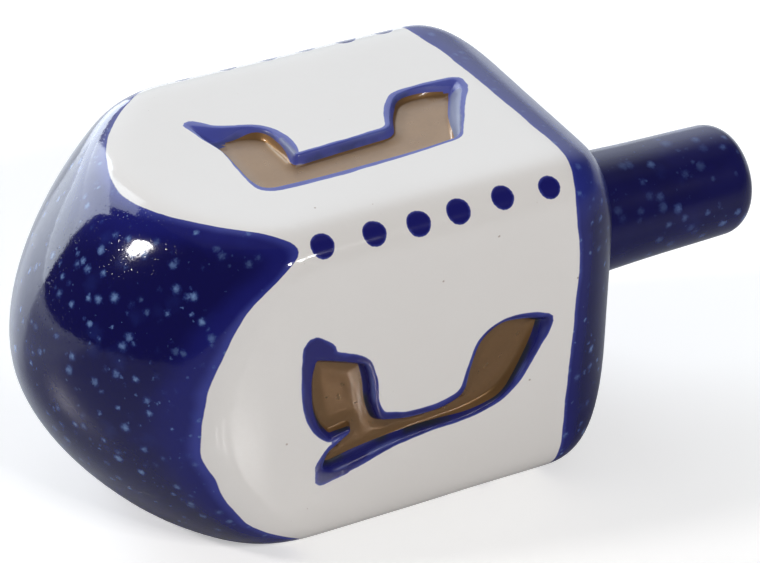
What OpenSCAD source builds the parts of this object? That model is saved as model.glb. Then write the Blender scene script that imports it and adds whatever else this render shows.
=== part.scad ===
// Four-sided ceramic spinning top, lying on one of its flat sides.
// The spin axis runs along X from the nose to the stem, Z is up, and the top rests on Z = 0.
// The origin is on that resting plane, under the middle of the whole length.

/* [Body] */
// Width of the square body across two flat sides
body_width = 56; // [44:0.5:72]
// Length of the body from the root of the nose to the seat of the stem
body_length = 62.1; // [52:0.1:90]
// Radius of the four long edges
edge_radius = 6.5; // [3:0.1:11]
// Thickness of the cast clay wall
wall_thickness = 4.5; // [3:0.1:6]
// Radius of the hollow's long edges, where the slip gathers
hollow_edge_radius = 8; // [4:0.1:12]

/* [Nose] */
// Length of the nose beyond its root
nose_length = 30.7; // [24:0.1:42]
// Radius that the nose would grow to without the flat sides
nose_radius = 43; // [38:0.1:52]
// How far behind its root the nose reaches that radius
nose_overlap = 13; // [9:0.1:20]
// How blunt the tip of the nose is, with 1 for a cone
nose_bluntness = 1.36; // [1.2:0.02:2]
// How round the flank of the nose is, with 1 for a straight one
nose_roundness = 1.75; // [1.4:0.05:2.2]
// Width over which the nose melts into the flat sides
nose_blend = 4; // [1.5:0.1:6]

/* [Letters] */
// Depth of the letter sunk into each side
letter_depth = 1.8; // [1:0.1:2.4]
// How far the walls of a letter lean in on their way down
letter_draft = 0.8; // [0.4:0.1:1.1]
// How far the corners of a letter are rounded
letter_round = 1.3; // [0.4:0.1:2]

/* [Shoulder] */
// Length of the rounded shoulder at the stem end
shoulder_length = 15.7; // [10:0.1:22]
// How soon the shoulder starts to turn in
shoulder_turn = 2.1; // [1.6:0.05:3]
// How square the shoulder's outer corner is
shoulder_squareness = 2.75; // [2:0.05:4]
// How late the section changes from square to round
shoulder_rounding = 4.3; // [2.5:0.1:6]

/* [Stem] */
// Length of the stem from its seat to its end
stem_length = 33.2; // [24:0.1:48]
// Diameter of the stem at its root
stem_root_diameter = 20.2; // [16:0.1:26]
// Diameter of the stem near its end
stem_end_diameter = 18.4; // [13:0.1:24]
// Radius of the rounded edge at the end of the stem
stem_edge_radius = 4.5; // [1.5:0.1:6]
// Diameter of the vent through the stem, which lets air out in the kiln
vent_diameter = 2.4; // [1.5:0.1:4]

/* [Joint] */
// Diameter of the tenon that stops the body's pour hole
tenon_diameter = 14; // [10:0.1:15.5]
// Length of the tenon
tenon_length = 9; // [7:0.1:16]
// Chamfer at the end of the tenon
tenon_chamfer = 1; // [0.4:0.1:2]
// Gap all round the tenon in the pour hole
socket_clearance = 0.3; // [0.15:0.05:0.6]
// Width and height of the hollow curve of joining slip
slip_radius = 2.2; // [1.2:0.1:3.5]
// Thickness of the ring of joining slip at its two edges
slip_lip = 0.4; // [0.2:0.05:0.8]
// Flat border of the seat round the ring of joining slip
seat_margin = 0.3; // [0.2:0.05:1]

/* [Smoothness] */
// Facets across one flat side of a section
flat_steps = 9; // [5:1:12]
// Facets round one long edge of a section
edge_steps = 7; // [4:1:9]
// Facets round one corner of a letter
letter_steps = 3; // [2:1:5]
// Sections along the nose
nose_steps = 24; // [14:1:30]
// Sections along the shoulder
shoulder_steps = 11; // [7:1:14]

/* [Hidden] */
$fn = 96;

glaze_white = [0.90, 0.90, 0.88];
glaze_cobalt = [0.08, 0.09, 0.32];
slip_pale = [0.72, 0.75, 0.82];

half_width = body_width / 2;
root_radius = stem_root_diameter / 2;
end_radius = stem_end_diameter / 2;
tenon_radius = tenon_diameter / 2;
socket_radius = tenon_radius + socket_clearance;
seat_radius = root_radius + slip_radius + slip_lip + seat_margin;

whole_length = nose_length + body_length + stem_length;
tip_x = -whole_length / 2;
nose_end_x = tip_x + nose_length + nose_overlap;
seat_x = tip_x + nose_length + body_length;
shoulder_x = seat_x - shoulder_length;

// Length of the straight bar, from the root of the nose to the shoulder
bar_length = body_length - shoulder_length;

// How far the cutters of the letters stand out of the sides
letter_overrun = 0.6;

// Outlines of the sunk letters, clockwise. A point is its place across the side, as a share of half its
// width, and its place up the bar from the nose towards the stem, as a share of the bar's length.
nun_shares = [
    [-0.35, 0.05], [-0.26, 0.12], [-0.20, 0.23], [-0.13, 0.27], [0.04, 0.28], [0.17, 0.27],
    [0.15, 0.43], [0.13, 0.63], [-0.02, 0.67], [-0.16, 0.74], [-0.19, 0.83], [-0.18, 0.97],
    [-0.09, 0.97], [0.12, 0.89], [0.37, 0.80], [0.40, 0.63], [0.42, 0.30], [0.41, 0.10],
    [0.30, 0.08], [-0.05, 0.08], [-0.21, 0.05]
];
gimel_shares = [
    [-0.34, 0.10], [-0.28, 0.16], [-0.21, 0.24], [-0.16, 0.28], [-0.04, 0.31], [0.11, 0.31],
    [0.21, 0.33], [0.25, 0.43], [0.25, 0.56], [0.19, 0.64], [0.04, 0.66], [-0.11, 0.69],
    [-0.19, 0.77], [-0.19, 0.87], [-0.13, 0.95], [-0.05, 0.94], [0.03, 0.90], [0.19, 0.85],
    [0.31, 0.79], [0.37, 0.67], [0.38, 0.52], [0.40, 0.37], [0.45, 0.26], [0.48, 0.16],
    [0.44, 0.12], [0.34, 0.14], [0.24, 0.21], [0.22, 0.20], [0.26, 0.15], [0.17, 0.11],
    [0.04, 0.09], [-0.16, 0.08]
];
hei_roof_shares = [
    [-0.47, 0.94], [-0.32, 0.92], [0.14, 0.94], [0.43, 0.91], [0.45, 0.78], [0.41, 0.43],
    [0.42, 0.12], [0.32, 0.08], [0.17, 0.14], [0.16, 0.43], [0.16, 0.72], [-0.31, 0.71],
    [-0.44, 0.77]
];
hei_leg_shares = [
    [-0.36, 0.59], [-0.19, 0.57], [-0.16, 0.34], [-0.16, 0.15], [-0.30, 0.09], [-0.38, 0.16],
    [-0.37, 0.37]
];
shin_shares = [
    [-0.34, 0.09], [-0.42, 0.22], [-0.41, 0.58], [-0.46, 0.86], [-0.32, 0.94], [-0.16, 0.89],
    [-0.19, 0.60], [-0.21, 0.31], [-0.06, 0.31], [-0.04, 0.58], [-0.06, 0.85], [0.06, 0.94],
    [0.19, 0.90], [0.15, 0.60], [0.12, 0.30], [0.26, 0.32], [0.29, 0.58], [0.26, 0.85],
    [0.38, 0.94], [0.50, 0.91], [0.46, 0.56], [0.45, 0.19], [0.31, 0.09]
];

// The letters on the four sides, in the order in which the top is turned
sunk_outline_shares = [[nun_shares], [gimel_shares], [hei_roof_shares, hei_leg_shares], [shin_shares]];

// Half of the angle that a flat side takes up, seen from the axis
flat_angle = atan2(half_width - edge_radius, half_width);

// The hollow, which nothing shows, has this many times fewer facets each way
hollow_coarseness = 2;

// Directions of the points of one section, close together on the long edges
function section_angles(coarseness) =
    let (
        flats = ceil(flat_steps / coarseness),
        edges = ceil(edge_steps / coarseness)
    )
    [
        for (side = [0 : 3])
            each concat(
                [for (i = [0 : flats - 1]) 90 * side - flat_angle + 2 * flat_angle * i / flats],
                [for (i = [0 : edges - 1]) 90 * side + flat_angle + (90 - 2 * flat_angle) * i / edges]
            )
    ];

// Smaller of two sizes, rounded off where they are within the blend of each other
function soft_min(a, b, blend) = min(a, b) - pow(max(blend - abs(a - b), 0), 2) / (4 * blend);

// Distance from the axis to a square with round corners, in the direction t
function square_reach(t, half, corner) =
    let (
        long = max(abs(cos(t)), abs(sin(t))),
        short = min(abs(cos(t)), abs(sin(t))),
        inner = half - corner,
        middle = inner * (long + short)
    )
    half * short / long <= inner
        ? half / long
        : middle + sqrt(max(middle * middle - 2 * inner * inner + corner * corner, 0));

// Radius of the nose at the place x, for a surface that lies inset inside the outer one
function nose_reach(x, inset) =
    let (share = max(nose_end_x - x, 0) / (nose_end_x - tip_x - inset))
    (nose_radius - inset) * pow(max(1 - pow(share, nose_bluntness), 0), 1 / nose_roundness);

// How far along the shoulder the place x is, from 0 at its start to 1 at its end
function shoulder_share(x, inset) = max(x - shoulder_x, 0) / (shoulder_length - inset);

// Half width of the section at the place x, which draws in along the shoulder to the seat's radius
function section_half(x, inset) =
    let (half = half_width - inset, end_share = seat_radius / half)
    half * pow(
        1 - (1 - pow(end_share, shoulder_squareness)) * pow(shoulder_share(x, inset), shoulder_turn),
        1 / shoulder_squareness
    );

// Corner radius of the section at the place x, which becomes a full circle at the seat
function section_corner(x, inset, corner) =
    let (
        half = section_half(x, inset),
        corner_share = corner / (half_width - inset),
        turned = pow(shoulder_share(x, inset), shoulder_rounding)
    )
    half * (corner_share + (1 - corner_share) * turned);

// Points of the section at the place x, in the given directions
function section_points(x, inset, corner, angles) = [
    for (t = angles)
        let (
            bar = square_reach(t, section_half(x, inset), section_corner(x, inset, corner)),
            reach = soft_min(bar, nose_reach(x, inset), nose_blend)
        )
        [x, reach * cos(t), reach * sin(t)]
];

// Places of the sections: close together at the tip of the nose and at the end of the shoulder
function section_places(inset, coarseness) =
    let (
        tip = tip_x + inset,
        end = seat_x - inset,
        noses = ceil(nose_steps / coarseness),
        shoulders = ceil(shoulder_steps / coarseness)
    )
    concat(
        [for (i = [1 : noses]) tip + (nose_end_x - tip) * (1 - cos(90 * i / noses))],
        [for (i = [0 : shoulders]) shoulder_x + (end - shoulder_x) * sin(90 * i / shoulders)]
    );

// Closed surface of the body, or of its hollow, drawn through the sections from tip to seat
module body_surface(inset, corner, coarseness) {
    places = section_places(inset, coarseness);
    angles = section_angles(coarseness);
    count = len(angles);
    last = len(places) - 1;
    points = concat(
        [[tip_x + inset, 0, 0]],
        [for (x = places) each section_points(x, inset, corner, angles)]
    );
    tip_faces = [for (i = [0 : count - 1]) [0, 1 + i, 1 + (i + 1) % count]];
    side_faces = [
        for (ring = [0 : last - 1], i = [0 : count - 1])
            let (
                a = 1 + ring * count + i,
                b = 1 + ring * count + (i + 1) % count
            )
            each [[a, b + count, b], [a, a + count, b + count]]
    ];
    seat_face = [for (i = [0 : count - 1]) 1 + last * count + count - 1 - i];
    polyhedron(points, concat(tip_faces, side_faces, [seat_face]));
}

// Outline of a letter in real sizes, drawn with the stem along X
function outline_points(shares) = [for (p = shares) [p[1] * bar_length, -p[0] * half_width]];

// Unit vector from one point to another
function heading(from, to) = (to - from) / norm(to - from);

// A clockwise outline drawn in by a distance, each edge parallel to what it was
function drawn_in(points, distance) =
    let (count = len(points))
    [
        for (i = [0 : count - 1])
            let (
                before = heading(points[(i + count - 1) % count], points[i]),
                after = heading(points[i], points[(i + 1) % count]),
                inward_before = [before[1], -before[0]],
                inward_after = [after[1], -after[0]]
            )
            points[i] + (inward_before + inward_after) * distance / (1 + inward_before * inward_after)
    ];

// An outline with every corner rounded, by less where its edges are short
function rounded_corners(points, radius) =
    let (count = len(points))
    [
        for (i = [0 : count - 1])
            let (
                before = points[(i + count - 1) % count],
                after = points[(i + 1) % count],
                room = min(radius, norm(before - points[i]) / 2.2, norm(after - points[i]) / 2.2),
                start = points[i] + heading(points[i], before) * room,
                end = points[i] + heading(points[i], after) * room
            )
            for (k = [0 : letter_steps])
                let (t = k / letter_steps)
                (1 - t) * (1 - t) * start + 2 * t * (1 - t) * points[i] + t * t * end
    ];

// Cutter of one outline of a letter, with leaning walls, that stands with the outline on Z = 0
module letter_cutter(shares) {
    outline = outline_points(shares);
    upper = rounded_corners(drawn_in(outline, -letter_draft * letter_overrun / letter_depth), letter_round);
    lower = rounded_corners(drawn_in(outline, letter_draft), letter_round);
    count = len(upper);
    points = concat(
        [for (p = upper) [p[0], p[1], letter_overrun]],
        [for (p = lower) [p[0], p[1], -letter_depth]]
    );
    walls = [
        for (i = [0 : count - 1])
            let (j = (i + 1) % count)
            each [[i, count + i, count + j], [i, count + j, j]]
    ];
    mouth = [for (i = [0 : count - 1]) i];
    bed = [for (i = [0 : count - 1]) 2 * count - 1 - i];
    polyhedron(points, concat(walls, [mouth, bed]));
}

// The cutters of all four letters, one side after the other round the spin axis
module letter_cutters() {
    for (side = [0 : len(sunk_outline_shares) - 1])
        translate([tip_x + nose_length, 0, half_width])
            rotate([90 * side, 0, 0])
                translate([0, 0, half_width])
                    for (shares = sunk_outline_shares[side]) letter_cutter(shares);
}

// Moves and turns a shape drawn up the Z axis so that it stands on the seat, along the spin axis
module on_seat() {
    translate([seat_x, 0, half_width]) rotate([0, 90, 0]) children();
}

// Radius of the stem at a height above the seat
function stem_radius(height) =
    root_radius + (end_radius - root_radius) * height / (stem_length - stem_edge_radius);

// What is cut from a square corner to leave it with a round edge, drawn from the centre of the round
module corner_waste(radius) {
    difference() {
        square(2 * radius);
        circle(r = radius);
    }
}

// Hollow cast body with a letter sunk into each side, and its pour hole
module body() {
    color(glaze_white)
        difference() {
            translate([0, 0, half_width]) body_surface(0, edge_radius, 1);
            translate([0, 0, half_width])
                body_surface(wall_thickness, hollow_edge_radius, hollow_coarseness);
            letter_cutters();
            on_seat()
                translate([0, 0, -shoulder_length]) cylinder(h = 2 * shoulder_length, r = socket_radius);
        }
}

// Tapered stem with a rounded end, and the tenon that goes into the pour hole
module stem() {
    straight = stem_length - stem_edge_radius;
    color(glaze_cobalt)
        on_seat()
            difference() {
                rotate_extrude()
                    difference() {
                        polygon([
                            [0, -tenon_length],
                            [tenon_radius - tenon_chamfer, -tenon_length],
                            [tenon_radius, tenon_chamfer - tenon_length],
                            [tenon_radius, 0],
                            [root_radius, 0],
                            [end_radius, straight],
                            [end_radius, stem_length],
                            [0, stem_length]
                        ]);
                        translate([end_radius - stem_edge_radius, straight]) corner_waste(stem_edge_radius);
                    }
                translate([0, 0, -2 * tenon_length])
                    cylinder(h = 2 * tenon_length + 2 * stem_length, d = vent_diameter);
            }
}

// Ring of joining slip, wiped to a hollow curve round the root of the stem
module slip_ring() {
    height = slip_radius + slip_lip;
    foot_radius = root_radius + slip_radius + slip_lip;
    color(slip_pale)
        on_seat()
            rotate_extrude()
                difference() {
                    polygon([
                        [root_radius, 0], [foot_radius, 0], [foot_radius, height], [stem_radius(height), height]
                    ]);
                    translate([foot_radius, height]) circle(r = slip_radius);
                }
}

body();
stem();
slip_ring();
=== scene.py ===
import math

import bpy
import numpy as np
from mathutils import Matrix, Vector
from mathutils.geometry import delaunay_2d_cdt
from mathutils.kdtree import KDTree


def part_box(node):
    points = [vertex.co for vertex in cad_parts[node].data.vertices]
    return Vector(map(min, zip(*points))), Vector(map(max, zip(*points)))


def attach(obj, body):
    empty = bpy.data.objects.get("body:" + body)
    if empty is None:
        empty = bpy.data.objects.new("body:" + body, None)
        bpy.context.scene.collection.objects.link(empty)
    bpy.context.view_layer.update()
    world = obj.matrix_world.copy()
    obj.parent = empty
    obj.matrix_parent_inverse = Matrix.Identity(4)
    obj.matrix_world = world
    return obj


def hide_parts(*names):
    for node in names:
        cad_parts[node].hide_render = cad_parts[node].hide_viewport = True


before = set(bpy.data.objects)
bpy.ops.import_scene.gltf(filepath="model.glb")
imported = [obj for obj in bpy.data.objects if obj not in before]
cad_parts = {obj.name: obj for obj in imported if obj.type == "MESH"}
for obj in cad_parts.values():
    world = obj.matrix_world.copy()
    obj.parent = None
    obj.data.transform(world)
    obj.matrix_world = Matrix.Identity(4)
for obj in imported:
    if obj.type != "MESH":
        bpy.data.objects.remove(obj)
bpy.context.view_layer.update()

# A glazed ceramic dreidel that lies on one of its four sides. The clay is worked out in millimetres
# along the spin axis, which runs along X, and each piece is turned into metres when it is made.
MM = 0.001

body_low, body_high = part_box("body")
stem_low, stem_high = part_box("stem")
slip_low, slip_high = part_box("slip_ring")

HALF_WIDTH = (body_high[1] - body_low[1]) / 2 / MM
AXIS_HEIGHT = HALF_WIDTH
TIP_X = body_low[0] / MM
SEAT_X = body_high[0] / MM
STEM_END_X = stem_high[0] / MM
TENON_LENGTH = SEAT_X - stem_low[0] / MM
STEM_LENGTH = STEM_END_X - SEAT_X
STEM_ROOT_RADIUS = (stem_high[1] - stem_low[1]) / 2 / MM
SLIP_FOOT_RADIUS = (slip_high[1] - slip_low[1]) / 2 / MM
SLIP_HEIGHT = (slip_high[0] - slip_low[0]) / MM

# The cast body, with the same sizes as the solids
EDGE_RADIUS = 6.5
NOSE_LENGTH = 30.7
NOSE_RADIUS = 43
NOSE_OVERLAP = 13
NOSE_BLUNTNESS = 1.36
NOSE_ROUNDNESS = 1.75
NOSE_BLEND = 4
NOSE_ROOT_X = TIP_X + NOSE_LENGTH
NOSE_END_X = NOSE_ROOT_X + NOSE_OVERLAP
SHOULDER_LENGTH = 15.7
SHOULDER_X = SEAT_X - SHOULDER_LENGTH
SHOULDER_TURN = 2.1
SHOULDER_SQUARENESS = 2.75
SHOULDER_ROUNDING = 4.3
SEAT_RIM = 0.3
SEAT_RADIUS = SLIP_FOOT_RADIUS + SEAT_RIM
HOLE_RADIUS = 7.3
HOLE_CHAMFER = 0.4
HOLE_SPARE = 0.6
HAND_WAVE = 0.06
WAVE_FADE = 4
# How far round the axis the round edges run softly into the flats, in radians, and the clay this takes off
EDGE_EASE = 0.044
EASE_ROOM = 0.025

# The stem and the slip
STEM_END_RADIUS = 9.2
STEM_EDGE_RADIUS = 4.5
TENON_RADIUS = 7
TENON_CHAMFER = 1
STEM_CHAMFER = 0.05
STEM_STRAIGHT = STEM_LENGTH - STEM_EDGE_RADIUS
THUMB_HOLLOW = 0.12
VENT_RADIUS = 1.2
# The rounded mouth of the vent: how far below the end, and its radius there
VENT_MOUTH = [(0, 2.6), (0.08, 2.0), (0.35, 1.45), (0.9, VENT_RADIUS), (4, VENT_RADIUS)]
SLIP_RADIUS = 2.2

# The sunk letters
LETTER_DEPTH = 1.8
RIM_ROUND = 0.18
DISH_WIDTH = 2.6
DISH_SHARE = 0.17

# The film of gold: its full thickness, its least, how far from its edge it is full, how far it stands clear
# of the clay, how deep its underside lies, where its edge is in the gold's field, and the fewest triangles
# that a patch of it has
GOLD_FILM = 0.05
THINNEST_FILM = 0.012
FILM_SLOPE = 0.3
FILM_CLEAR = 0.004
FILM_ROOT = 0.04
GOLD_EDGE = -0.015
SMALLEST_PATCH = 60

# The flat part of each side that holds the letter. Low and high are measured up from the nose's root
PANEL_START_X = -32.5
PANEL_END_X = 15.1
PANEL_HALF = 17.1
PANEL_LOW = PANEL_START_X - NOSE_ROOT_X
PANEL_HIGH = PANEL_END_X - NOSE_ROOT_X

# Edges bent more than this show as edges
SHARP_ANGLE = math.radians(50)

# How close the points are: rings and lines on the plain clay, a net on each panel, rows of points along
# each letter at shares of its wall and at distances outside its rim, and steps round the turned pieces
NOSE_RINGS = 46
SHOULDER_RINGS = 26
RING_GAP = 0.62
LINE_GAP = 0.9
BESIDE_LINES = 4
EDGE_LINES = 16
TURN_STEPS = 120
LETTER_STEP = 0.3
SHARE_SLACK = 0.02
NET_GAP = 0.95
LEAST_GAP = 0.075
WALL_ROWS = (0, 0.14, 0.28, 0.42, 0.56, 0.7, 0.85, 1, 1.15, 1.4, 1.8, 2.3, 2.9)
RIM_ROWS = (0.12, 0.3, 0.7, 1.2, 1.8, 2.5)
# Rows further out than this take every second point
CLOSE_BY = 0.5
# Places that are worked out at one time
BATCH = 2000
# A place that is in no letter, stroke or dot has this in that field
FAR_OUT = -9.0

# How much of the way to the next point the rounding of a letter's corner may take
MOST_OF_SIDE = 0.48

# Each letter is one or two closed lines pressed into the clay. A point of a line is (across, up, round,
# brush, wall, gold): its place on the side, how far the corner is rounded there, how far the blue brush
# line goes outside it, how wide the sloping wall is inside it, and the share of that wall at which the
# gold starts. Up is towards the stem, from the nose's root.
NUN = [
    (-9.9, 2.2, 0.7, 0.9, 2.3, 1.3),
    (-7.4, 5.6, 1.4, 1, 1.4, 1.3),
    (-5.6, 10.6, 1.6, 0.8, 1.1, 0.32),
    (-3.6, 12.4, 1.6, 1.1, 1, 0.3),
    (1.2, 12.9, 2, 1.7, 0.8, 0.35),
    (4.8, 12.7, 0.7, 0.7, 0.8, 0.85),
    (4.3, 20, 3, 0.55, 0.9, 0.75),
    (3.7, 29.2, 1.4, 0.8, 0.9, 0.75),
    (-0.6, 31.3, 2, 1.2, 0.9, 0.55),
    (-4.6, 34.2, 1.8, 1, 1, 0.4),
    (-5.4, 38.5, 3, 0.8, 0.9, 0.45),
    (-4.9, 45.2, 1, 0.9, 2.4, 0.65),
    (-2.4, 45, 1.6, 1, 2.6, 0.8),
    (3.4, 41.3, 2, 0.9, 2.1, 0.85),
    (10.4, 37.3, 1, 0.7, 1.1, 0.5),
    (11.3, 29, 4, 0.8, 0.9, 0.3),
    (11.8, 14, 4, 1.25, 0.9, 0.3),
    (11.4, 4.6, 2.2, 1.15, 0.9, 0.3),
    (8.4, 3.6, 2, 0.5, 0.8, 0.4),
    (-1.4, 3.6, 2.5, 0.3, 0.8, 0.5),
    (-6, 2.4, 2, 0.4, 1.4, 1.5),
]
GIMEL = [
    (-7.8, 4.7, 0.8, 2.4, 1.2, 0.5),
    (-6.8, 7.6, 1.2, 1.6, 1.1, 0.5),
    (-5.3, 11.3, 1.2, 1.6, 1, 0.6),
    (-4.6, 13.2, 0.9, 0.9, 1.1, 0.9),
    (-1, 14.2, 1.5, 0.8, 1.1, 1),
    (3, 14.5, 1.5, 0.8, 1.1, 1),
    (6.3, 15.3, 1.1, 1.5, 0.9, 0.9),
    (7.5, 20, 2.5, 1.2, 0.8, 0.6),
    (7.5, 26.1, 2.4, 1.3, 0.8, 0.5),
    (6, 29.8, 1.6, 1.1, 0.9, 0.5),
    (1.1, 30.8, 1.8, 0.6, 0.8, 0.5),
    (-3, 32.2, 1.8, 0.7, 0.8, 0.5),
    (-5.4, 35.6, 2, 0.7, 0.8, 0.5),
    (-4.7, 40.4, 2, 1.2, 0.9, 0.6),
    (-3.6, 44.3, 0.9, 0.9, 1.9, 0.8),
    (-1.3, 43.4, 1.4, 1, 1.8, 0.7),
    (0.8, 41.8, 1.4, 1.1, 1.5, 0.5),
    (5.2, 39.4, 2.2, 1.1, 1.3, 0.45),
    (8.6, 36.6, 2.2, 0.9, 1.2, 0.25),
    (10.3, 31, 3, 0.6, 1, 0.35),
    (10.6, 24, 3, 0.6, 0.9, 0.7),
    (11.3, 17, 2.4, 0.9, 1, 0.8),
    (12.5, 12, 2, 1.3, 1.3, 0.95),
    (13.3, 7.6, 0.9, 1.5, 1.1, 1),
    (12.3, 5.7, 0.8, 1.5, 0.9, 0.8),
    (9.6, 6.6, 0.9, 0.9, 0.8, 0.5),
    (7.1, 10.4, 0.3, 0.6, 0.7, 0.35),
    (6.4, 10.5, 0.3, 0.6, 0.7, 0.35),
    (7.1, 7, 0.7, 0.8, 0.9, 0.5),
    (4.9, 5.3, 1.2, 1.2, 1, 0.6),
    (1.2, 4.1, 2, 1.6, 0.9, 0.4),
    (-4.6, 3.9, 2, 1.9, 0.9, 0.3),
]
HEI_ROOF = [
    (-13.2, 43.6, 0.8, 1.3, 2, 0.7),
    (-9, 42.6, 1.6, 0.8, 0.8, 0.5),
    (4, 43.4, 3, 0.7, 0.7, 0.6),
    (12, 42.4, 2.4, 1, 0.9, 0.5),
    (12.6, 36, 3, 0.8, 0.8, 0.4),
    (11.6, 20, 4, 0.9, 0.8, 0.6),
    (11.9, 5.4, 1.3, 1.4, 1.2, 0.7),
    (9, 3.9, 1.2, 1.2, 1.2, 0.5),
    (4.9, 6.4, 1.2, 1, 0.9, 0.5),
    (4.6, 20, 4, 0.7, 0.7, 0.9),
    (4.4, 33.6, 1.1, 1, 0.9, 0.9),
    (-8.6, 33, 2, 0.8, 0.8, 0.6),
    (-12.2, 35.6, 1.2, 1, 1, 0.5),
]
HEI_LEG = [
    (-10.2, 27.6, 0.9, 1, 1, 0.6),
    (-5.4, 26.4, 1.4, 0.9, 0.9, 0.5),
    (-4.6, 16, 3, 0.7, 0.8, 0.7),
    (-4.4, 6.8, 1.4, 1.1, 1, 0.7),
    (-8.4, 4.2, 1.1, 1.4, 1.1, 0.5),
    (-10.6, 7.4, 1.4, 1, 0.9, 0.4),
    (-10.3, 17, 3, 0.8, 0.8, 0.6),
]
SHIN = [
    (-9.4, 4.2, 2.2, 1.2, 1, 0.6),
    (8.8, 4, 3, 0.9, 0.9, 0.5),
    (12.6, 9, 2.5, 1, 0.9, 0.4),
    (12.9, 26, 4, 0.8, 0.8, 0.6),
    (14, 42.4, 1, 1.2, 1.6, 0.8),
    (10.6, 43.6, 1.4, 1, 1.1, 0.5),
    (7.2, 39.6, 1.6, 0.8, 0.8, 0.5),
    (8, 27, 3, 0.6, 0.7, 0.7),
    (7.4, 14.8, 1.2, 0.9, 0.8, 0.9),
    (3.4, 14, 1.2, 0.9, 0.8, 0.9),
    (4.2, 28, 3, 0.6, 0.7, 0.6),
    (5.2, 41.6, 1, 1.1, 1.3, 0.7),
    (1.6, 43.4, 1.3, 1, 1, 0.5),
    (-1.8, 39.4, 1.4, 0.8, 0.8, 0.5),
    (-1.2, 27, 3, 0.6, 0.7, 0.7),
    (-1.6, 14.6, 1.2, 0.9, 0.8, 0.9),
    (-6, 14.2, 1.2, 0.9, 0.8, 0.9),
    (-5.4, 28, 3, 0.7, 0.7, 0.6),
    (-4.6, 41.2, 1, 1, 1.3, 0.6),
    (-9, 43.8, 1.4, 1, 1, 0.5),
    (-12.8, 40, 1.8, 0.9, 0.8, 0.4),
    (-11.6, 27, 3.5, 0.8, 0.8, 0.5),
    (-11.9, 10, 2.5, 1, 0.9, 0.4),
]

# Where the loaded brush went wider than the line: short strokes from one (across, up, radius) to another
WIDE_STROKES = {
    "gimel": [
        ((-10.4, 4.3, 1.65), (-8.5, 6.2, 1.9)),
        ((-9.8, 4.1, 1.8), (-6.6, 4.4, 2.3)),
        ((13.9, 5.9, 1.5), (13.2, 9.4, 1.5)),
    ],
    "nun": [
        ((-10.1, 2.4, 1.25), (-8.5, 3.6, 1.6)),
        ((-4.5, 45.4, 0.9), (-2.6, 45.3, 0.8)),
    ],
    "hei": [((-13.9, 43.9, 1.3), (-11.5, 42.5, 1.3))],
    "shin": [
        ((14.2, 43.4, 1.2), (13.4, 40.6, 1.2)),
        ((-9, 4.4, 1.7), (-5, 4.2, 1.4)),
    ],
}

# Where neither the blue nor the gold took, so that the fired clay shows cream
BARE_STROKES = {
    "gimel": [((-5.4, 4.3, 0.25), (-0.6, 4.3, 0.35))],
    "nun": [
        ((-2.6, 11.5, 0.22), (3.9, 11.8, 0.38)),
        ((5.5, 12.5, 0.42), (5.5, 14, 0.12)),
    ],
    "hei": [((-6.4, 27, 0.4), (-5.4, 24, 0.3))],
    "shin": [((-5.6, 15.2, 0.5), (-2.2, 15, 0.4))],
}

# Where the blue on a wall is a pale grey wash: partly the blue wiped thin, partly a painted reflection
WASH_AND_REFLECTION_STROKES = {
    "gimel": [],
    "nun": [
        ((-2.2, 43.7, 1), (8.6, 37.4, 1.3)),
        ((-0.5, 12.9, 0.5), (4, 12.9, 0.6)),
    ],
    "hei": [((-11.9, 42.4, 0.6), (-10.8, 36.2, 0.7))],
    "shin": [((11, 42.4, 0.5), (8.6, 38.6, 0.6))],
}

# The four sides: the name of the letter, its lines, the direction in which the side faces, from +Y towards
# +Z, and how thinly its outline was painted. A letter's right-hand side is always a quarter turn further.
SIDES = [
    ("shin", [SHIN], 0, 0.6),
    ("nun", [NUN], 90, 0.8),
    ("gimel", [GIMEL], 180, 0),
    ("hei", [HEI_ROOF, HEI_LEG], 270, 0.3),
]

# The dots on each long edge: the direction of their row, its slant in degrees per millimetre, and where
# they are along the axis. Then how wide the touch of the brush was.
DOT_ROWS = [
    (47.5, 0.05, [-24.6, -16.9, -9.9, -3.3, 3.5, 10.3]),
    (135.2, 0, [-25.9, -17.5, -10.3, -3.6, 3.8, 11.6]),
    (232, -0.03, [-25.1, -17.8, -10.6, -3.2, 4.1, 11]),
    (314, 0.02, [-25.6, -17.2, -9.8, -3.4, 3.6, 11.4]),
]
DOT_RADIUS = 2.04
DOT_SLIMNESS = 1.05
DOT_TURN_SLIP = 0.01
DOT_WIDTH_SLIP = 0.08

# What the points of a letter carry for the glaze
LETTER_FIELDS = ("wall", "brush", "gold", "bare", "wash_and_reflection")

# Where the blue of the nose and of the shoulder was painted to. The brush left the nose's line by some
# millimetres here and there: the direction, how far, and the spread in degrees
NOSE_LINE_X = -45.9
NOSE_LINE_RISE = 20
NOSE_LINE_CURVE = 2.35
NOSE_LINE_CUSP = 2
NOSE_LINE_WANDER = [
    (142.5, -1.6, 6.5),
    (157.0, 0.5, 6.0),
    (198.0, 1.3, 7.0),
    (216.5, -2.0, 5.5),
    (290.0, 1.1, 8.0),
    (24.0, -1.2, 7.0),
]
SHOULDER_LINE_X = 15.5
SHOULDER_LINE_DIP = 1.4


def soft_smaller(a, b, blend):
    """The smaller of two sizes, rounded off where they are nearly the same."""
    return np.minimum(a, b) - np.maximum(blend - np.abs(a - b), 0) ** 2 / (4 * blend)


def square_parts(turn):
    """How far a unit step in a direction goes towards the nearest side, and how far along that side."""
    across = np.abs(np.cos(turn))
    up = np.abs(np.sin(turn))
    return np.maximum(across, up), np.minimum(across, up)


def square_reach(turn, half, corner):
    """Distance from the axis to a square with round corners."""
    long_side, short_side = square_parts(turn)
    inner = half - corner
    middle = inner * (long_side + short_side)
    rounded = middle + np.sqrt(np.maximum(middle**2 - 2 * inner**2 + corner**2, 0))
    return np.where(half * short_side / long_side <= inner, half / long_side, rounded)


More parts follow.
